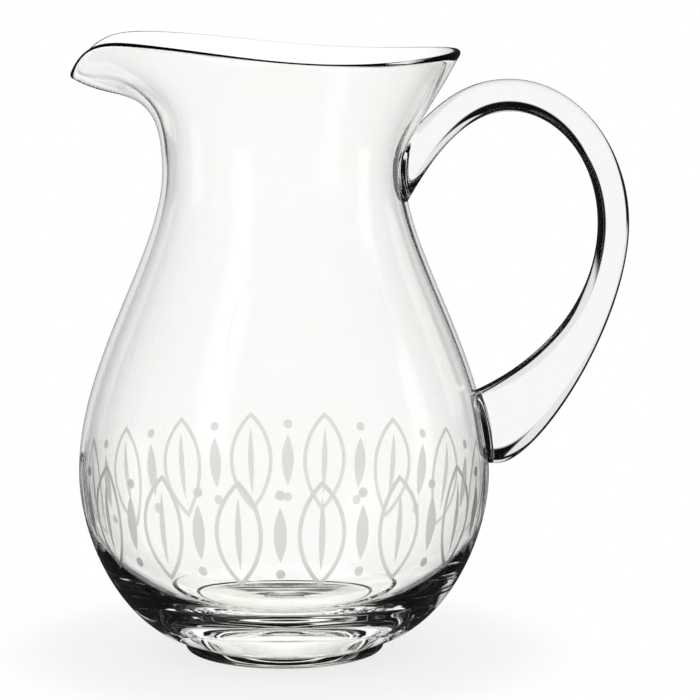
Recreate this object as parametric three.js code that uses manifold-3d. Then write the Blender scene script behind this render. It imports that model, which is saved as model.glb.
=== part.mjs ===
// A hand-made clear glass jug in three gathers of glass, fused while hot: a blown bowl whose rim is pulled out
// into a pouring lip, a small solid foot under it, and a solid strap handle from the neck to the belly.
// Millimetres, +Z up. The origin is the centre of the foot's underside, on the bowl's axis. The lip points to
// -X and the handle to +X.

import * as THREE from 'three';
import { mergeVertices } from 'three/addons/utils/BufferGeometryUtils.js';
import Module from 'manifold-3d';

const { Vector2, CubicBezierCurve } = THREE;
const { degToRad, lerp, mapLinear, smoothstep } = THREE.MathUtils;

// Foot: a solid disc with a rounded edge
const footRadius = 37;
const footHeight = 4.4;
const footEdge = 1.9;

// Bowl, outside: heel on the foot, widest belly, narrowest neck and flared rim
const footLedge = 0.8;
const heelSlope = degToRad(8);
const bellyRadius = 76;
const bellyRise = 62.6;
const neckRadius = 44.4;
const neckRise = 111.7;
const rimRadius = 64.6;
const rimRise = 43.5;
const rimSlope = degToRad(62);

// How far each curve of the profile holds its direction at its two ends, as a share of the curve's rise
const heelHold = 0.36;
const bellyHoldBelow = 0.43;
const bellyHoldAbove = 0.377;
const neckHoldBelow = 0.267;
const neckHoldAbove = 0.3;
const rimHold = 0.62;

// Rim line: drawn in at the sides, rising towards the lip and turning up again at the handle
const rimPinch = 7.2;
const rimTilt = 3.45;
const rimSaddle = 1.9;
const rimUpturn = 0.55;

// Pouring lip: a broad pull that draws the rim out to -X, and a narrow notch where the lip turns down
const lipReach = 12.4;
const lipDrop = 14.5;
const lipSlope = degToRad(31);
const lipHold = 0.46;
const lipThroatHold = 0.8;
const lipPullSharpness = 4;
const lipNotchSharpness = 22;

// Glass thickness: thick floor, thin blown belly, stouter neck and fire-polished rim
const floorThickness = 4.2;
const bellyWall = 1.7;
const neckWall = 2.2;
const rimWall = 2.6;
const wallGaugeStart = 0.17;
const floorHold = 0.918;
const cornerHold = 0.537;

// The floor steps up inside a ring over the foot
const floorRingRadius = 44;
const floorRingRise = 1.8;
const floorRingWidth = 2.5;

// Handle: outer edge of the strap by its crown (highest), grip (furthest out) and pad (lowest)
const crownReach = 38.4;
const crownRise = 33.5;
const gripReach = 50.9;
const gripDrop = 20;
const padReach = 3;
const padRise = 3;
const crownThickness = 11.7;
const gripThickness = 11.4;
const neckRootRise = 2;
const neckRootHeight = 31;
const padHeight = 28;
const strapBreadth = 17;
const strapSquareness = 2.8;

// Both ends of the strap spread sideways where they are pressed on to the bowl
const spreadBreadth = 23.5;
const spreadLength = 3.2;

// How the strap's two edges leave the neck and come in to the belly, and how long they hold those directions
const outerRootSlope = degToRad(50);
const innerRootSlope = degToRad(64);
const innerPadSlope = degToRad(26);
const rootHold = 0.45;
const crownHold = 0.42;
const quarterHold = 0.55;
const outerGripHold = 0.36;
const innerGripHold = 0.38;
const outerPadHold = 0.15;
const innerPadHold = 0.34;

// The two fused seams: the handle stands off the bowl by a hair, and its ends start inside the bowl's outline
const seamGap = 0.3;
const rootDepth = 8;

// Fineness of the facets
const turnSegments = 60;
const heelSteps = 9;
const shoulderSteps = 11;
const flareSteps = 8;
const rimSteps = 4;
const floorSteps = 14;
const footEdgeSteps = 4;
const strapSides = 16;
const strapSteps = 18;

const heelRadius = footRadius - footLedge;
const bellyHeight = footHeight + bellyRise;
const neckHeight = bellyHeight + neckRise;
const rimHeight = neckHeight + rimRise;
const floorHeight = footHeight + floorThickness;

const neckPoint = new Vector2(neckRadius, neckHeight);
const bellyPoint = new Vector2(bellyRadius, bellyHeight);
const upward = new Vector2(0, 1);

function direction(angle) {
  return new Vector2(Math.cos(angle), Math.sin(angle));
}

function along(point, heading, length) {
  return point.clone().addScaledVector(heading, length);
}

// Heel to belly, then belly to neck: the same all round the axis
const heelPoint = new Vector2(heelRadius, footHeight);
const heelCurve = new CubicBezierCurve(
  heelPoint,
  along(heelPoint, direction(heelSlope), heelHold * bellyRise),
  along(bellyPoint, upward, -bellyHoldBelow * bellyRise),
  bellyPoint,
);
const shoulderCurve = new CubicBezierCurve(
  bellyPoint,
  along(bellyPoint, upward, bellyHoldAbove * neckRise),
  along(neckPoint, upward, -neckHoldBelow * neckRise),
  neckPoint,
);

// Neck to rim, at one angle round the axis measured from the handle's side
function flareCurve(angle) {
  const towardsLip = Math.max(0, -Math.cos(angle));
  const pull = towardsLip ** lipPullSharpness;
  const notch = towardsLip ** lipNotchSharpness;
  const wave = -rimTilt * Math.cos(angle) + rimSaddle * Math.cos(2 * angle) + rimUpturn * Math.cos(3 * angle);
  const rimPoint = new Vector2(
    rimRadius - rimPinch * Math.sin(angle) ** 2 + lipReach * pull,
    rimHeight + wave - lipDrop * notch,
  );
  const slope = lerp(rimSlope, lipSlope, notch);
  return new CubicBezierCurve(
    neckPoint,
    along(neckPoint, upward, lerp(neckHoldAbove, lipThroatHold, pull) * rimRise),
    along(rimPoint, direction(slope), -lerp(rimHold, lipHold, pull) * rimRise),
    rimPoint,
  );
}

// Points of a curve between two shares of its length, each moved off it to the right of its direction
function offsetPoints(curve, from, to, steps, offsetAt) {
  const points = [];
  for (let step = 0; step <= steps; step += 1) {
    const share = lerp(from, to, step / steps);
    const heading = curve.getTangent(share);
    const outward = new Vector2(heading.y, -heading.x);
    points.push(along(curve.getPoint(share), outward, offsetAt(share)));
  }
  return points;
}

// Outside of the bowl from heel to rim, grown by an even offset
function outsidePoints(angle, offset) {
  const even = () => offset;
  return [
    ...offsetPoints(heelCurve, 0, 1, heelSteps, even),
    ...offsetPoints(shoulderCurve, 0, 1, shoulderSteps, even).slice(1),
    ...offsetPoints(flareCurve(angle), 0, 1, flareSteps, even).slice(1),
  ];
}

// Rounded edge of the rim, from the outside over the top to the inside
function rimPoints(angle) {
  const flare = flareCurve(angle);
  const heading = flare.getTangent(1);
  const outward = new Vector2(heading.y, -heading.x);
  const middle = along(flare.getPoint(1), outward, -rimWall / 2);
  const points = [];
  for (let step = 1; step < rimSteps; step += 1) {
    const turn = Math.PI * step / rimSteps;
    const edge = along(middle, outward, rimWall / 2 * Math.cos(turn));
    points.push(along(edge, heading, rimWall / 2 * Math.sin(turn)));
  }
  return points;
}

// Inside of the bowl from the rim down to the middle of its floor
function insidePoints(angle) {
  const flareWall = (share) => -lerp(neckWall, rimWall, share);
  const shoulderWall = (share) => -lerp(bellyWall, neckWall, share);
  const flare = offsetPoints(flareCurve(angle), 1, 0, flareSteps, flareWall);
  const shoulder = offsetPoints(shoulderCurve, 1, wallGaugeStart, shoulderSteps, shoulderWall);
  const gaugePoint = shoulder[shoulder.length - 1];
  const floorPoint = new Vector2(0, floorHeight);
  const depth = gaugePoint.y - floorHeight;
  const floorCurve = new CubicBezierCurve(
    gaugePoint,
    along(gaugePoint, shoulderCurve.getTangent(wallGaugeStart), -cornerHold * depth),
    new Vector2(floorHold * gaugePoint.x, floorHeight),
    floorPoint,
  );
  const floor = floorCurve.getPoints(floorSteps).slice(1);
  for (const point of floor) {
    point.y += floorRingRise * smoothstep(floorRingRadius - point.x, 0, floorRingWidth);
  }
  return [...flare, ...shoulder.slice(1), ...floor];
}

// Radius of the bowl's outside on the handle's side, at one height
function reachAt(height) {
  const side = outsidePoints(0, 0);
  const above = Math.max(1, side.findIndex((point) => point.y > height));
  const [low, high] = side.slice(above - 1, above + 1);
  return mapLinear(height, low.y, high.y, low.x, high.x);
}

// A lathe-turned solid whose profile may change with the angle round the axis
function turned(profileAt) {
  const sample = profileAt(0);
  const geometry = new THREE.LatheGeometry(sample, turnSegments);
  const position = geometry.attributes.position;
  for (let turn = 0; turn <= turnSegments; turn += 1) {
    const angle = 2 * Math.PI * (turn % turnSegments) / turnSegments;
    profileAt(angle).forEach((point, row) => {
      const x = point.x * Math.cos(angle);
      const y = point.x * Math.sin(angle);
      position.setXYZ(turn * sample.length + row, x, y, point.y);
    });
  }
  return joined(geometry);
}

// The same triangles with shared corners merged, and without the flat ones on the axis
function joined(geometry) {
  geometry.deleteAttribute('normal');
  geometry.deleteAttribute('uv');
  const merged = mergeVertices(geometry);
  const corners = merged.index.array;
  const kept = [];
  for (let at = 0; at < corners.length; at += 3) {
    const [a, b, c] = corners.slice(at, at + 3);
    if (a !== b && b !== c && c !== a) kept.push(a, b, c);
  }
  merged.setIndex(kept);
  return merged;
}

function bowlGeometry() {
  return turned((angle) => [
    new Vector2(0, footHeight),
    ...outsidePoints(angle, 0),
    ...rimPoints(angle),
    ...insidePoints(angle),
  ]);
}

// The bowl's outline filled solid and grown by the seam gap, to trim the handle's ends
function bowlOutlineGeometry() {
  return turned((angle) => {
    const outside = outsidePoints(angle, seamGap);
    return [
      new Vector2(0, outside[0].y),
      ...outside,
      new Vector2(0, outside[outside.length - 1].y),
    ];
  });
}

function footGeometry() {
  const edge = [];
  for (let step = 0; step <= footEdgeSteps; step += 1) {
    const turn = Math.PI / 2 * (step / footEdgeSteps - 1);
    const corner = new Vector2(footRadius - footEdge, footEdge);
    edge.push(along(corner, direction(turn), footEdge));
  }
  return turned(() => [
    new Vector2(0, 0),
    ...edge,
    new Vector2(footRadius, footHeight),
    new Vector2(0, footHeight),
  ]);
}

// One edge of the strap in the X-Z plane: from inside the neck over the crown, round the grip and along the
// pad to its end inside the belly
function strapEdge({ root, rootHeading, crown, grip, gripHold, pad, padHeading, padHold, end }) {
  const risen = root.distanceTo(crown);
  const fallen = grip.distanceTo(pad);
  return [
    new CubicBezierCurve(
      root,
      along(root, rootHeading, rootHold * risen),
      new Vector2(lerp(crown.x, root.x, crownHold), crown.y),
      crown,
    ),
    new CubicBezierCurve(
      crown,
      new Vector2(lerp(crown.x, grip.x, quarterHold), crown.y),
      new Vector2(grip.x, lerp(grip.y, crown.y, quarterHold)),
      grip,
    ),
    new CubicBezierCurve(
      grip,
      along(grip, upward, -gripHold * fallen),
      along(pad, padHeading, -padHold * fallen),
      pad,
    ),
    new CubicBezierCurve(
      pad,
      along(pad, padHeading, quarterHold * pad.distanceTo(end)),
      pad.clone().lerp(end, quarterHold),
      end,
    ),
  ];
}

// A solid strap: a round rod bent along both edges at once, with an oval section between them
function strapGeometry() {
  const crown = new Vector2(neckRadius + crownReach, neckHeight + crownRise);
  const grip = new Vector2(bellyRadius + gripReach, neckHeight - gripDrop);
  const pad = new Vector2(bellyRadius + padReach, bellyHeight + padRise);
  const innerCrown = new Vector2(crown.x, crown.y - crownThickness);
  const innerGrip = new Vector2(grip.x - gripThickness, grip.y);
  const innerPad = new Vector2(bellyRadius - padReach, pad.y + padHeight);
  const rootX = neckRadius - rootDepth;
  const endX = bellyRadius - rootDepth;
  const outerRoot = new Vector2(rootX, neckHeight + neckRootRise);
  const innerRoot = new Vector2(rootX, outerRoot.y - neckRootHeight);
  const outer = strapEdge({
    root: outerRoot,
    rootHeading: direction(outerRootSlope),
    crown,
    grip,
    gripHold: outerGripHold,
    pad,
    padHeading: direction(Math.PI),
    padHold: outerPadHold,
    end: new Vector2(endX, pad.y + padRise),
  });
  const inner = strapEdge({
    root: innerRoot,
    rootHeading: direction(innerRootSlope),
    crown: innerCrown,
    grip: innerGrip,
    gripHold: innerGripHold,
    pad: innerPad,
    padHeading: direction(Math.PI + innerPadSlope),
    padHold: innerPadHold,
    end: new Vector2(endX, innerPad.y - padRise),
  });

  const rod = new THREE.CylinderGeometry(1, 1, outer.length, strapSides, strapSteps * outer.length);
  const position = rod.attributes.position;
  for (let at = 0; at < position.count; at += 1) {
    const ring = Math.round((position.getY(at) + outer.length / 2) * strapSteps);
    const stretch = Math.min(outer.length - 1, Math.floor(ring / strapSteps));
    const share = ring / strapSteps - stretch;
    const near = inner[stretch].getPoint(share);
    const far = outer[stretch].getPoint(share);
    const across = squared(position.getX(at), position.getZ(at));
    const point = near.clone().lerp(far, (across.x + 1) / 2);
    const clearance = Math.max(0, point.x - reachAt(point.y));
    const breadth = lerp(strapBreadth, spreadBreadth, Math.exp(-clearance / spreadLength));
    position.setXYZ(at, point.x, across.y * breadth / 2, point.y);
  }
  return joined(rod);
}

// A point of the unit disc moved out to a fuller oval
function squared(x, y) {
  const radius = Math.hypot(x, y);
  if (radius === 0) return new Vector2(0, 0);
  const power = strapSquareness;
  const fuller = radius / (Math.abs(x / radius) ** power + Math.abs(y / radius) ** power) ** (1 / power);
  return new Vector2(x / radius * fuller, y / radius * fuller);
}

const wasm = await Module();
wasm.setup();

function solid(geometry) {
  const vertProperties = new Float32Array(geometry.attributes.position.array);
  const triVerts = new Uint32Array(geometry.index.array);
  return new wasm.Manifold(new wasm.Mesh({ numProp: 3, vertProperties, triVerts }));
}

function handleGeometry() {
  const trimmed = solid(strapGeometry()).subtract(solid(bowlOutlineGeometry())).getMesh();
  const geometry = new THREE.BufferGeometry();
  geometry.setAttribute('position', new THREE.BufferAttribute(trimmed.vertProperties, 3));
  geometry.setIndex(new THREE.BufferAttribute(trimmed.triVerts, 1));
  return geometry;
}

// Clear soda-lime glass with a polished surface
function clearGlass() {
  return new THREE.MeshStandardMaterial({
    color: 0xf3f6f3,
    roughness: 0.03,
    metalness: 0,
    transparent: true,
    opacity: 0.35,
  });
}

function piece(name, geometry) {
  geometry.computeVertexNormals();
  const mesh = new THREE.Mesh(geometry, clearGlass());
  mesh.name = name;
  return mesh;
}

const jug = new THREE.Group();
jug.name = 'jug';
jug.add(piece('foot', footGeometry()));
jug.add(piece('bowl', bowlGeometry()));
jug.add(piece('handle', handleGeometry()));

export default jug;
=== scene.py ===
import math

import bmesh
import bpy
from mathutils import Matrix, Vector
from mathutils.geometry import intersect_point_line


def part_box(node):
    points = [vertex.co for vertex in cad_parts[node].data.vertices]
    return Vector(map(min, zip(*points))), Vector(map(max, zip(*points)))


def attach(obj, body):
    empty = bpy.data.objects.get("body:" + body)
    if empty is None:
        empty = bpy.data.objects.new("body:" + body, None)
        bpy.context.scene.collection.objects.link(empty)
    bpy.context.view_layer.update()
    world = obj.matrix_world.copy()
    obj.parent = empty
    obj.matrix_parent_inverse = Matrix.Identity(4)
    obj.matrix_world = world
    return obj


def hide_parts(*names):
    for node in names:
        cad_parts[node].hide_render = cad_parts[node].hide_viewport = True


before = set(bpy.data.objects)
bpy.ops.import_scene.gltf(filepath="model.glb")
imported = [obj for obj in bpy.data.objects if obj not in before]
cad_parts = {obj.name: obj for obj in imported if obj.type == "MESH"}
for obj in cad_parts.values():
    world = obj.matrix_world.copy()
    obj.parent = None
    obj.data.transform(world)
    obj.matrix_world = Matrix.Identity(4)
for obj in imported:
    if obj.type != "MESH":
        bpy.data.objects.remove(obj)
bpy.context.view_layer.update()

# Foot
# A small solid disc of clear glass, pressed hot against the bowl's thick base, with a fire-polished edge.
# The mark of the blower's rod under it is ground away and polished to a shallow round hollow.
mm = 0.001
foot_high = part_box("foot")[1]
foot_radius = foot_high.x
foot_height = foot_high.z
foot_edge = 1.9 * mm
foot_brow = 0.6 * mm
foot_ledge = 0.8 * mm
hollow_radius = 9.5 * mm
hollow_depth = 1.1 * mm
heel_radius = foot_radius - foot_ledge
turns = 192
edge_steps, brow_steps = 10, 5
same_place = 1e-7
crease = math.radians(40)
clear, fused, etched, spare = range(4)


def heading(angle):
    return Vector((math.cos(angle), math.sin(angle)))


def arc(centre, radius, start, end, steps):
    """Points of a round stretch of a profile."""
    angles = [start + (end - start) * step / steps for step in range(steps + 1)]
    return [centre + radius * heading(angle) for angle in angles]


def turned(profile_at, finishes):
    """A body turned round the Z axis, from a profile that may change with the angle and ends on the axis.

    Rows of faces are clear glass, apart from those that are given another finish.
    """
    body = bmesh.new()
    rings = []
    for turn in range(turns):
        angle = math.tau * turn / turns
        rings.append([
            body.verts.new((r * math.cos(angle), r * math.sin(angle), z)) for r, z in profile_at(angle)
        ])
    for near, far in zip(rings, rings[1:] + rings[:1]):
        for row in range(len(near) - 1):
            face = body.faces.new((near[row], far[row], far[row + 1], near[row + 1]))
            face.material_index = finishes.get(row, clear)
    bmesh.ops.remove_doubles(body, verts=body.verts, dist=same_place)
    return body


def piece(name, body):
    """A shown piece with smooth faces, creased round a fused seam and at sharp corners."""
    for face in body.faces:
        face.smooth = True
    for edge in body.edges:
        seams = {face.material_index == fused for face in edge.link_faces}
        edge.smooth = len(seams) == 1 and edge.calc_face_angle(0) < crease
    mesh = bpy.data.meshes.new(name)
    body.to_mesh(mesh)
    body.free()
    made = bpy.data.objects.new(name, mesh)
    bpy.context.scene.collection.objects.link(made)
    return made


hollow_bow = (hollow_radius ** 2 + hollow_depth ** 2) / (2 * hollow_depth)
hollow_half = math.asin(hollow_radius / hollow_bow)
hollow_centre = Vector((0, hollow_depth - hollow_bow))
quarter = math.pi / 2
foot_profile = [
    *arc(hollow_centre, hollow_bow, quarter, quarter - hollow_half, edge_steps),
    *arc(Vector((foot_radius - foot_edge, foot_edge)), foot_edge, -quarter, 0, edge_steps),
    *arc(Vector((foot_radius - foot_brow, foot_height - foot_brow)), foot_brow, 0, quarter, brow_steps),
    Vector((heel_radius, foot_height)),
    Vector((0, foot_height)),
]
foot = piece("foot_disc", turned(lambda angle: foot_profile, {len(foot_profile) - 2: fused}))


def calc(tree, operation, *values):
    """One step of arithmetic on shader values."""
    node = tree.nodes.new("ShaderNodeMath")
    node.operation = operation
    for socket, value in zip(node.inputs, values):
        if isinstance(value, (int, float)):
            socket.default_value = value
        else:
            tree.links.new(value, socket)
    return node.outputs[0]


def noise(tree, position, scale, detail=0):
    """Smooth noise from 0 to 1, with finer noise added to it for each step of detail."""
    node = tree.nodes.new("ShaderNodeTexNoise")
    node.inputs["Scale"].default_value = scale
    node.inputs["Detail"].default_value = detail
    tree.links.new(position, node.inputs["Vector"])
    return node.outputs["Fac"]


def blend(tree, share, start, end):
    """A colour between two others, each given as a colour or as a socket."""
    node = tree.nodes.new("ShaderNodeMix")
    node.data_type = "RGBA"
    tree.links.new(share, node.inputs["Factor"])
    for name, colour in (("A", start), ("B", end)):
        socket = next(socket for socket in node.inputs if socket.name == name and socket.type == "RGBA")
        if isinstance(colour, tuple):
            socket.default_value = colour
        else:
            tree.links.new(colour, socket)
    return next(socket for socket in node.outputs if socket.type == "RGBA")


def group(name, outputs):
    """An empty node group that takes a position, with its input and output nodes."""
    tree = bpy.data.node_groups.new(name, "ShaderNodeTree")
    tree.interface.new_socket("Position", in_out="INPUT", socket_type="NodeSocketVector")
    for output, kind in outputs.items():
        tree.interface.new_socket(output, in_out="OUTPUT", socket_type=kind)
    return tree, tree.nodes.new("NodeGroupInput").outputs["Position"], tree.nodes.new("NodeGroupOutput")


patch_scale, ripple_scale, cord_scale = 0.5, 1, 3
cord_share = 0.08
skin_outputs = {"Patches": "NodeSocketFloat", "Height": "NodeSocketFloat"}
skin, skin_position, skin_out = group("worked_skin", skin_outputs)
skin.links.new(noise(skin, skin_position, patch_scale, detail=1), skin_out.inputs["Patches"])
ripple = noise(skin, skin_position, ripple_scale)
cord = calc(skin, "MULTIPLY", noise(skin, skin_position, cord_scale), cord_share)
skin.links.new(calc(skin, "ADD", ripple, cord), skin_out.inputs["Height"])

glass_index = 1.52


def glass(name, stretch, depth, tints):
    """Clear glass in patches of two faint tints, with ripples along the way that it was worked."""
    material = bpy.data.materials.new(name)
    material.use_nodes = True
    tree = material.node_tree
    place = tree.nodes.new("ShaderNodeTexCoord")
    mapping = tree.nodes.new("ShaderNodeMapping")
    mapping.inputs["Scale"].default_value = stretch
    tree.links.new(place.outputs["Object"], mapping.inputs["Vector"])
    worked = tree.nodes.new("ShaderNodeGroup")
    worked.node_tree = skin
    tree.links.new(mapping.outputs["Vector"], worked.inputs["Position"])
    bump = tree.nodes.new("ShaderNodeBump")
    bump.inputs["Strength"].default_value = 1
    bump.inputs["Distance"].default_value = depth
    tree.links.new(worked.outputs["Height"], bump.inputs["Height"])
    shader = tree.nodes["Principled BSDF"]
    shader.inputs["Roughness"].default_value = 0
    shader.inputs["IOR"].default_value = glass_index
    shader.inputs["Transmission Weight"].default_value = 1
    tree.links.new(blend(tree, worked.outputs["Patches"], *tints), shader.inputs["Base Color"])
    tree.links.new(bump.outputs["Normal"], shader.inputs["Normal"])
    return material


def finish(made, materials, node):
    """Gives a piece its materials, and puts it in place of one solid."""
    for material in materials:
        made.data.materials.append(material)
    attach(made, "root")
    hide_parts(node)


thin_tints = (0.983, 0.989, 0.97, 1), (0.994, 0.996, 0.99, 1)
warm_tints = (0.978, 0.966, 0.862, 1), (0.99, 0.98, 0.888, 1)
pressed_glass = glass("pressed_glass", stretch=(60, 60, 200), depth=0.004 * mm, tints=warm_tints)
fused_seam = glass("fused_seam", stretch=(60, 60, 60), depth=0, tints=thin_tints)
fused_seam.node_tree.nodes["Principled BSDF"].inputs["Alpha"].default_value = 0
finish(foot, (pressed_glass, fused_seam), "foot")

# Bowl
# The blown body in one piece with its neck, flared rim and pouring lip. The glass is thick in the floor,
# thin round the belly and stouter at the fire-polished rim. The lip is pulled out of the rim while hot.
bowl_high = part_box("bowl")[1]
belly_radius = bowl_high.y
belly_height = foot_height + 62.6 * mm
neck_radius = 44.4 * mm
neck_height = belly_height + 111.7 * mm
rim_radius = 64.6 * mm
rim_rise = 43.5 * mm
rim_height = neck_height + rim_rise
heel_slope = math.radians(8)
rim_slope = math.radians(62)

heel_hold = 0.36
belly_hold_below = 0.43
belly_hold_above = 0.377
neck_hold_below = 0.267
neck_hold_above = 0.3
rim_hold = 0.62

rim_pinch = 7.2 * mm
rim_tilt = 3.45 * mm
rim_saddle = 1.9 * mm
rim_upturn = 0.55 * mm
lip_reach = 12.4 * mm
lip_drop = 14.5 * mm
lip_slope = math.radians(31)
lip_hold = 0.46
lip_throat_hold = 0.8
lip_pull_sharpness = 4
lip_notch_sharpness = 22

floor_height = foot_height + 4.2 * mm
belly_wall = 1.7 * mm
neck_wall = 2.2 * mm
rim_wall = 2.6 * mm
gauge_start = 0.17
floor_hold = 0.918
corner_hold = 0.537
floor_ring_radius = 44 * mm
floor_ring_rise = 1.8 * mm
floor_ring_width = 2.5 * mm
floor_ring_parts = 8
button_radius = 9.8 * mm
button_height = 0.9 * mm

heel_steps, shoulder_steps, flare_steps, rim_steps, floor_steps = 28, 44, 30, 12, 64
up = Vector((0, 1))


def lerp(a, b, share):
    return a + (b - a) * share


def on_curve(curve, share):
    """Point and heading at one place on a cubic curve."""
    a, b, c, d = curve
    rest = 1 - share
    point = a * rest ** 3 + 3 * b * rest ** 2 * share + 3 * c * rest * share ** 2 + d * share ** 3
    course = (b - a) * rest ** 2 + 2 * (c - b) * rest * share + (d - c) * share ** 2
    return point, course.normalized()


heel_point = Vector((heel_radius, foot_height))
belly_point = Vector((belly_radius, belly_height))
neck_point = Vector((neck_radius, neck_height))
belly_rise = belly_height - foot_height
neck_rise = neck_height - belly_height
heel_curve = (
    heel_point,
    heel_point + heel_hold * belly_rise * heading(heel_slope),
    belly_point - belly_hold_below * belly_rise * up,
    belly_point,
)
shoulder_curve = (
    belly_point,
    belly_point + belly_hold_above * neck_rise * up,
    neck_point - neck_hold_below * neck_rise * up,
    neck_point,
)


def flare_curve(angle):
    """Neck to rim, at one angle round the axis from the handle's side."""
    towards_lip = max(0, -math.cos(angle))
    pull = towards_lip ** lip_pull_sharpness
    notch = towards_lip ** lip_notch_sharpness
    waves = (-rim_tilt, rim_saddle, rim_upturn)
    wave = sum(height * math.cos(count * angle) for count, height in enumerate(waves, start=1))
    rim_point = Vector((
        rim_radius - rim_pinch * math.sin(angle) ** 2 + lip_reach * pull,
        rim_height + wave - lip_drop * notch,
    ))
    slope = lerp(rim_slope, lip_slope, notch)
    return (
        neck_point,
        neck_point + lerp(neck_hold_above, lip_throat_hold, pull) * rim_rise * up,
        rim_point - lerp(rim_hold, lip_hold, pull) * rim_rise * heading(slope),
        rim_point,
    )


def beside(curve, start, end, steps, offset_at):
    """Points beside a curve, each moved off it to the right of its heading."""
    points = []
    for step in range(steps + 1):
        share = lerp(start, end, step / steps)
        point, course = on_curve(curve, share)
        points.append(point + offset_at(share) * Vector((course.y, -course.x)))
    return points


def bowl_outside(angle, offset=0.0):
    """The bowl's outside from heel to rim, at one angle, moved off by an even offset."""
    def even(share):
        return offset
    return [
        *beside(heel_curve, 0, 1, heel_steps, even),
        *beside(shoulder_curve, 0, 1, shoulder_steps, even)[1:],
        *beside(flare_curve(angle), 0, 1, flare_steps, even)[1:],
    ]


def bowl_rim(angle):
    """The half round of the rim, from the outside over to the inside."""
    point, course = on_curve(flare_curve(angle), 1)
    outward = Vector((course.y, -course.x))
    middle = point - rim_wall / 2 * outward
    points = []
    for step in range(1, rim_steps):
        turn = heading(math.pi * step / rim_steps)
        points.append(middle + rim_wall / 2 * (turn.x * outward + turn.y * course))
    return points


def eased(share):
    share = min(max(share, 0), 1)
    return share * share * (3 - 2 * share)


def floor_worked(point):
    """The floor steps up inside a ring over the foot, and bulges a little over the mark of the rod."""
    ring = floor_ring_rise * eased((floor_ring_radius - point.x) / floor_ring_width)
    button = button_height * eased(1 - point.x / button_radius)
    return point + (ring + button) * up


def bowl_inside(angle):
    """The bowl's inside from rim to the middle of the floor, with its own thickness at each height."""
    flare = beside(
        flare_curve(angle), 1, 0, flare_steps, lambda share: -lerp(neck_wall, rim_wall, share)
    )
    shoulder = beside(
        shoulder_curve, 1, gauge_start, shoulder_steps, lambda share: -lerp(belly_wall, neck_wall, share)
    )
    gauge_point = shoulder[-1]
    depth = gauge_point.y - floor_height
    floor_curve = (
        gauge_point,
        gauge_point - corner_hold * depth * on_curve(shoulder_curve, gauge_start)[1],
        Vector((floor_hold * gauge_point.x, floor_height)),
        Vector((0, floor_height)),
    )
    floor = []
    for step in range(1, floor_steps + 1):
        near, far = (on_curve(floor_curve, (step - back) / floor_steps)[0] for back in (1, 0))
        at_ring = far.x - floor_ring_width < floor_ring_radius < near.x + floor_ring_width
        parts = floor_ring_parts if at_ring else 1
        floor += [near.lerp(far, (part + 1) / parts) for part in range(parts)]
    return [*flare, *shoulder[1:], *map(floor_worked, floor)]


def bowl_profile(angle):
    return [Vector((0, foot_height)), *bowl_outside(angle), *bowl_rim(angle), *bowl_inside(angle)]


def bowl_filled(offset):
    """The bowl's outline filled solid, grown or shrunk by an even offset, with the finish of a seam."""
    def profile(angle):
        outside = bowl_outside(angle, offset)
        return [Vector((0, outside[0].y)), *outside, Vector((0, outside[-1].y))]
    return turned(profile, {row: fused for row in range(len(profile(0)))})


def fade(tree, value, start, end):
    """Eases from 0 to 1 while the value goes from start to end."""
    node = tree.nodes.new("ShaderNodeMapRange")
    node.interpolation_type = "SMOOTHSTEP"
    tree.links.new(value, node.inputs["Value"])
    node.inputs["From Min"].default_value = start
    node.inputs["From Max"].default_value = end
    return node.outputs["Result"]


leaf_count = 16
leaf_pitch = math.tau * belly_radius / leaf_count
leaf_middle = 57.5 * mm
leaf_half_width, leaf_half_height = 8 * mm, 18.5 * mm
vein_half_width, vein_half_height = 1.1 * mm, 13 * mm
dart_half_width, dart_half_height = 2.3 * mm, 10 * mm
dot_rise = 14.5 * mm
dot_radius = 1.7 * mm
stroke_half = 0.7 * mm
stroke_soft = 0.15 * mm
border, border_position, border_out = group("etched_border", {"Mask": "NodeSocketFloat"})
axes = border.nodes.new("ShaderNodeSeparateXYZ")
border.links.new(border_position, axes.inputs[0])
bearing = calc(border, "ARCTAN2", axes.outputs["Y"], axes.outputs["X"])
rise = calc(border, "ABSOLUTE", calc(border, "SUBTRACT", axes.outputs["Z"], leaf_middle))


def repeat(shift):
    """Distance round the belly from the nearest of the evenly spaced motifs."""
    turn = calc(border, "MULTIPLY_ADD", bearing, leaf_count / math.tau, shift)
    off_middle = calc(border, "SUBTRACT", calc(border, "FRACT", turn), 0.5)
    return calc(border, "MULTIPLY", calc(border, "ABSOLUTE", off_middle), leaf_pitch)


def distance(across, along):
    """Straight distance from a motif's middle, flat on the belly."""
    squares = calc(border, "ADD", calc(border, "POWER", across, 2), calc(border, "POWER", along, 2))
    return calc(border, "SQRT", squares)


def pointed_oval(across, half_width, half_height):
    """Distance outside a leaf shape between two round arcs."""
    bow = (half_height ** 2 + half_width ** 2) / (2 * half_width)
    return calc(border, "SUBTRACT", distance(calc(border, "ADD", across, bow - half_width), rise), bow)


on_leaf = repeat(0)
between = repeat(0.5)
leaf_edge = calc(border, "ABSOLUTE", pointed_oval(on_leaf, leaf_half_width, leaf_half_height))
off_dot = distance(between, calc(border, "SUBTRACT", rise, dot_rise))
marks = [
    fade(border, leaf_edge, stroke_half + stroke_soft, stroke_half),
    fade(border, pointed_oval(on_leaf, vein_half_width, vein_half_height), stroke_soft, 0),
    fade(border, pointed_oval(between, dart_half_width, dart_half_height), stroke_soft, 0),
    fade(border, off_dot, dot_radius + stroke_soft, dot_radius),
]
mask = marks[0]
for mark in marks[1:]:
    mask = calc(border, "MAXIMUM", mask, mark)
border.links.new(mask, border_out.inputs["Mask"])

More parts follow.
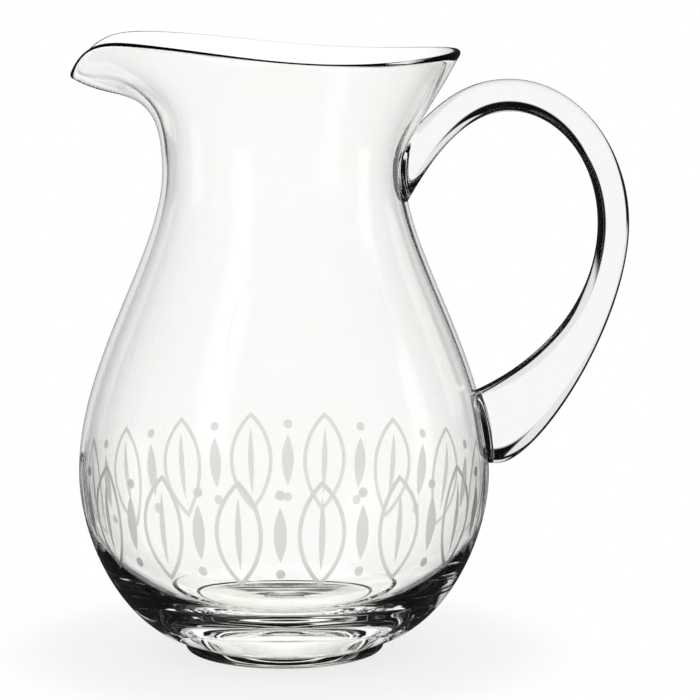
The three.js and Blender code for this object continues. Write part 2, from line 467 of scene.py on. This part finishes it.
blown_stretch = (35, 35, 70)
blown_depth = 0.003 * mm
frosted_grey = (0.64, 0.64, 0.61, 1)
frosted_roughness = 0.42
blown_glass = glass("blown_glass", blown_stretch, blown_depth, thin_tints)
etched_glass = glass("etched_glass", blown_stretch, blown_depth, thin_tints)
etched_tree = etched_glass.node_tree
etched_shader = etched_tree.nodes["Principled BSDF"]
etching = etched_tree.nodes.new("ShaderNodeGroup")
etching.node_tree = border
etched_place = etched_tree.nodes["Texture Coordinate"]
etched_tree.links.new(etched_place.outputs["Object"], etching.inputs["Position"])
frost = etching.outputs["Mask"]
frost_roughness = calc(etched_tree, "MULTIPLY", frost, frosted_roughness)
etched_tree.links.new(frost_roughness, etched_shader.inputs["Roughness"])
clear_tint = etched_shader.inputs["Base Color"].links[0].from_socket
frost_tint = blend(etched_tree, frost, clear_tint, frosted_grey)
etched_tree.links.new(frost_tint, etched_shader.inputs["Base Color"])

# Handle
# A solid strap of clear glass, drawn hot from the neck over a high loop and pressed on to the belly in a
# pad. Both ends are fused to the bowl, so no surface is left between them.
crown_reach = 38.4 * mm
crown_rise = 33.5 * mm
grip_reach = 50.9 * mm
grip_drop = 20 * mm
pad_reach = 3 * mm
pad_rise = 3 * mm
crown_thickness = 11.7 * mm
grip_thickness = 11.4 * mm
neck_root_rise = 2 * mm
neck_root_height = 31 * mm
pad_height = 28 * mm
strap_breadth = 17 * mm
strap_squareness = 2.8
spread_breadth = 23.5 * mm
spread_length = 2.2 * mm
spread_round = 0.25 * mm
outer_root_slope = math.radians(50)
inner_root_slope = math.radians(64)
inner_pad_slope = math.radians(26)
root_hold = 0.45
crown_hold = 0.42
quarter_hold = 0.55
outer_grip_hold = 0.36
inner_grip_hold = 0.38
outer_pad_hold = 0.15
inner_pad_hold = 0.34
root_depth = 8 * mm
bite = 0.7 * mm
seam_reach = 0.04 * mm
strap_sides, strap_steps = 64, 100


def strap_edge(root, root_course, crown, grip, grip_hold, pad, pad_course, pad_hold, end):
    """One edge of the strap in the X-Z plane: four stretches, from neck by crown and grip to pad."""
    risen = (crown - root).length
    fallen = (grip - pad).length
    return (
        (
            root,
            root + root_hold * risen * root_course,
            Vector((lerp(crown.x, root.x, crown_hold), crown.y)),
            crown,
        ),
        (
            crown,
            Vector((lerp(crown.x, grip.x, quarter_hold), crown.y)),
            Vector((grip.x, lerp(grip.y, crown.y, quarter_hold))),
            grip,
        ),
        (grip, grip - grip_hold * fallen * up, pad - pad_hold * fallen * pad_course, pad),
        (pad, pad + quarter_hold * (end - pad).length * pad_course, pad.lerp(end, quarter_hold), end),
    )


crown = Vector((neck_radius + crown_reach, neck_height + crown_rise))
grip = Vector((belly_radius + grip_reach, neck_height - grip_drop))
pad = Vector((belly_radius + pad_reach, belly_height + pad_rise))
inner_pad = Vector((belly_radius - pad_reach, pad.y + pad_height))
root_x = neck_radius - root_depth
end_x = belly_radius - root_depth
root_y = neck_height + neck_root_rise
strap_outer = strap_edge(
    Vector((root_x, root_y)), heading(outer_root_slope), crown, grip, outer_grip_hold,
    pad, heading(math.pi), outer_pad_hold, Vector((end_x, pad.y + pad_rise)),
)
strap_inner = strap_edge(
    Vector((root_x, root_y - neck_root_height)), heading(inner_root_slope),
    crown - crown_thickness * up, grip - Vector((grip_thickness, 0)), inner_grip_hold,
    inner_pad, heading(math.pi + inner_pad_slope), inner_pad_hold,
    Vector((end_x, inner_pad.y - pad_rise)),
)
handle_side = bowl_outside(0)


def bowl_reach(height):
    """How far out the bowl's outside stands at one height, where a spread end of the strap leaves it."""
    above = next(row for row, point in enumerate(handle_side) if point.y > height)
    low, high = handle_side[above - 1], handle_side[above]
    radius = lerp(low.x, high.x, (height - low.y) / (high.y - low.y))
    return math.sqrt(radius ** 2 - (spread_breadth / 2) ** 2)


def strap_half(clearance):
    """Half the strap's breadth, which spreads at a steep slope where the strap comes close to the bowl."""
    slope = (spread_breadth - strap_breadth) / (2 * spread_length)
    spread = math.log1p(math.exp((spread_length - clearance) / spread_round)) * spread_round
    return strap_breadth / 2 + slope * spread


def strap_solid():
    """The whole strap, with both of its ends still inside the bowl."""
    body = bmesh.new()
    rings = []
    for ring in range(len(strap_outer) * strap_steps + 1):
        stretch = min(ring // strap_steps, len(strap_outer) - 1)
        share = ring / strap_steps - stretch
        near = on_curve(strap_inner[stretch], share)[0]
        far = on_curve(strap_outer[stretch], share)[0]
        corners = []
        for side in range(strap_sides):
            across = heading(math.tau * side / strap_sides)
            powers = abs(across.x) ** strap_squareness + abs(across.y) ** strap_squareness
            across /= powers ** (1 / strap_squareness)
            point = near.lerp(far, (across.x + 1) / 2)
            clearance = max(0, point.x - bowl_reach(point.y))
            corners.append(body.verts.new((point.x, across.y * strap_half(clearance), point.y)))
        rings.append(corners)
    for lower, upper in zip(rings, rings[1:]):
        for side in range(strap_sides):
            after = (side + 1) % strap_sides
            body.faces.new((lower[side], upper[side], upper[after], lower[after]))
    body.faces.new(rings[0])
    body.faces.new(rings[-1][::-1])
    bmesh.ops.recalc_face_normals(body, faces=body.faces)
    return body


def carved(solid, tool):
    """The first body less the second. Each face keeps the finish of the body that it came from."""
    blank = piece("blank", solid)
    cutter = piece("cutter", tool)
    cut = blank.modifiers.new("carve", "BOOLEAN")
    cut.operation = "DIFFERENCE"
    cut.solver = "MANIFOLD"
    cut.object = cutter
    made = bpy.data.meshes.new_from_object(blank.evaluated_get(bpy.context.evaluated_depsgraph_get()))
    body = bmesh.new()
    body.from_mesh(made)
    for spent in (blank, cutter):
        bpy.data.objects.remove(spent)
    return body


def welded(body, reach):
    """Closes a seam whose two borders run along each other, with some corners at different places."""
    bmesh.ops.remove_doubles(body, verts=body.verts, dist=reach)
    border = [edge for edge in body.edges if edge.is_boundary]
    corners = {corner for edge in border for corner in edge.verts}
    for edge in border:
        start, end = (corner.co.copy() for corner in edge.verts)
        met = []
        for corner in corners.difference(edge.verts):
            foot_point, share = intersect_point_line(corner.co, start, end)
            if 0 < share < 1 and (foot_point - corner.co).length < reach:
                met.append((share, corner.co.copy()))
        for share, place in sorted(met, key=lambda meeting: -meeting[0]):
            corner = bmesh.utils.edge_split(edge, edge.verts[0], 0.5)[1]
            corner.co = place
            edge = next(half for half in corner.link_edges if half.other_vert(corner).co == start)
    bmesh.ops.remove_doubles(body, verts=body.verts, dist=reach)


handle_body = carved(strap_solid(), bowl_filled(0.0))
plug = carved(strap_solid(), bowl_filled(-bite))
for face in plug.faces:
    face.material_index = spare
outside_rows = range(1, heel_steps + shoulder_steps)
bowl_body = carved(turned(bowl_profile, {0: fused, **{row: etched for row in outside_rows}}), plug)
plugged = [face for face in bowl_body.faces if face.material_index == spare]
bmesh.ops.delete(bowl_body, geom=plugged, context="FACES")
for face in [face for face in handle_body.faces if face.material_index == fused]:
    corners = [bowl_body.verts.new(corner.co) for corner in reversed(face.verts)]
    bowl_body.faces.new(corners).material_index = fused
welded(bowl_body, seam_reach)

bowl = piece("blown_bowl", bowl_body)
finish(bowl, (blown_glass, fused_seam, etched_glass), "bowl")
handle = piece("strap_handle", handle_body)
# The strap's glass is tinted greyer than the bowl's. This is partly the tone of thick solid glass and
# partly painted shade that greys the whole handle.
thick_glass_painted_shade_tints = (0.864, 0.873, 0.856, 1), (0.88, 0.886, 0.874, 1)
drawn_glass = glass("drawn_glass", stretch=(20, 90, 20), depth=0.002 * mm, tints=thick_glass_painted_shade_tints)
finish(handle, (drawn_glass, fused_seam), "handle")

# Studio
# A pale round table that fades out at its edge, even white light from all round, and a camera at the
# photograph's angle. Glass shows white panels behind it, and unlit gaps beside them draw its edges dark.
table_radius = 0.12
table_fade = 0.045
table_sides = 128
table_drop = 0.5 * mm
table_grey = (0.22, 0.22, 0.22, 1)
table_glow = 0.8
white = (1, 1, 1, 1)
table_mesh = bpy.data.meshes.new("table_top")
table_body = bmesh.new()
bmesh.ops.create_circle(table_body, cap_ends=True, segments=table_sides, radius=table_radius)
table_body.to_mesh(table_mesh)
table_body.free()
table = bpy.data.objects.new("table_top", table_mesh)
bpy.context.scene.collection.objects.link(table)
table.location.z = -table_drop
table_white = bpy.data.materials.new("table_white")
table_white.use_nodes = True
table_tree = table_white.node_tree
table_shader = table_tree.nodes["Principled BSDF"]
table_shader.inputs["Base Color"].default_value = table_grey
table_shader.inputs["Roughness"].default_value = 1
table_shader.inputs["Specular IOR Level"].default_value = 0
table_shader.inputs["Emission Color"].default_value = white
table_shader.inputs["Emission Strength"].default_value = table_glow
table_place = table_tree.nodes.new("ShaderNodeTexCoord")
table_reach = table_tree.nodes.new("ShaderNodeVectorMath")
table_reach.operation = "LENGTH"
table_tree.links.new(table_place.outputs["Object"], table_reach.inputs[0])
table_edge = fade(table_tree, table_reach.outputs["Value"], table_radius, table_fade)
table_path = table_tree.nodes.new("ShaderNodeLightPath")
table_seen = calc(table_tree, "MULTIPLY", table_edge, table_path.outputs["Is Camera Ray"])
table_tree.links.new(table_seen, table_shader.inputs["Alpha"])
table_mesh.materials.append(table_white)

scene = bpy.context.scene
scene.world = bpy.data.worlds.new("studio")
scene.world.use_nodes = True
sky = scene.world.node_tree
backdrop = sky.nodes["Background"]
way = sky.nodes.new("ShaderNodeTexCoord")
way_axes = sky.nodes.new("ShaderNodeSeparateXYZ")
sky.links.new(way.outputs["Generated"], way_axes.inputs[0])
compass = calc(sky, "ARCTAN2", way_axes.outputs["X"], way_axes.outputs["Y"])
elevation = calc(sky, "ARCSINE", way_axes.outputs["Z"])


def panel(middle, half_width, low, high, soft, strength):
    """A white panel round the table: bearing, half width, heights and soft edge in degrees."""
    middle, half_width, low, high, soft = map(math.radians, (middle, half_width, low, high, soft))
    away = calc(sky, "ABSOLUTE", calc(sky, "SUBTRACT", compass, middle))
    over_low = fade(sky, elevation, low - soft, low)
    under_high = fade(sky, elevation, high + soft, high)
    upright = calc(sky, "MULTIPLY", over_low, under_high)
    lit_part = calc(sky, "MULTIPLY", fade(sky, away, half_width + soft, half_width), upright)
    return calc(sky, "MULTIPLY", lit_part, strength)


panels = [
    # Behind the jug, then below it and high behind it
    panel(-3, 22, -90, 3, 3, 1.16),
    panel(0, 145, -90, -60, 6, 1),
    panel(0, 24, 36, 70, 3, 1),
    # Behind the jug as it is seen from three other sides
    panel(-45, 9, -80, -19, 4, 1),
    panel(-90, 5, -35, 5, 6, 0.95),
    panel(135, 4, -70, -5, 12, 0.95),
    # Up to the left and down to the right, which thins the dark lines along the lower handle
    panel(-21, 9, -5, 22, 3, 1),
    panel(28, 8, -45, -15, 4, 1),
]
lit = panels[0]
for other in panels[1:]:
    lit = calc(sky, "MAXIMUM", lit, other)
unlit = 0.004
mirrored_level = 0.03
path = sky.nodes.new("ShaderNodeLightPath")
direct = calc(sky, "MAXIMUM", path.outputs["Is Camera Ray"], path.outputs["Is Diffuse Ray"])
is_through = path.outputs["Is Transmission Ray"]
through = calc(sky, "MULTIPLY", calc(sky, "MAXIMUM", lit, unlit), is_through)
mirrored = calc(sky, "MULTIPLY", calc(sky, "SUBTRACT", 1, is_through), mirrored_level)
level = calc(sky, "MAXIMUM", calc(sky, "MAXIMUM", direct, through), mirrored)
sky.links.new(level, backdrop.inputs["Strength"])
backdrop.inputs["Color"].default_value = white
scene.view_settings.view_transform = "Standard"
scene.cycles.max_bounces = 32
scene.cycles.transmission_bounces = 32
scene.cycles.glossy_bounces = 16

camera_tilt = math.radians(8.48)
lens = bpy.data.cameras.new("camera")
lens.sensor_width = 36
lens.lens = 177.3
camera = bpy.data.objects.new("camera", lens)
scene.collection.objects.link(camera)
camera.location = (0.024415, -1.26, 0.3)
camera.rotation_euler = (quarter - camera_tilt, 0, 0)
scene.camera = camera
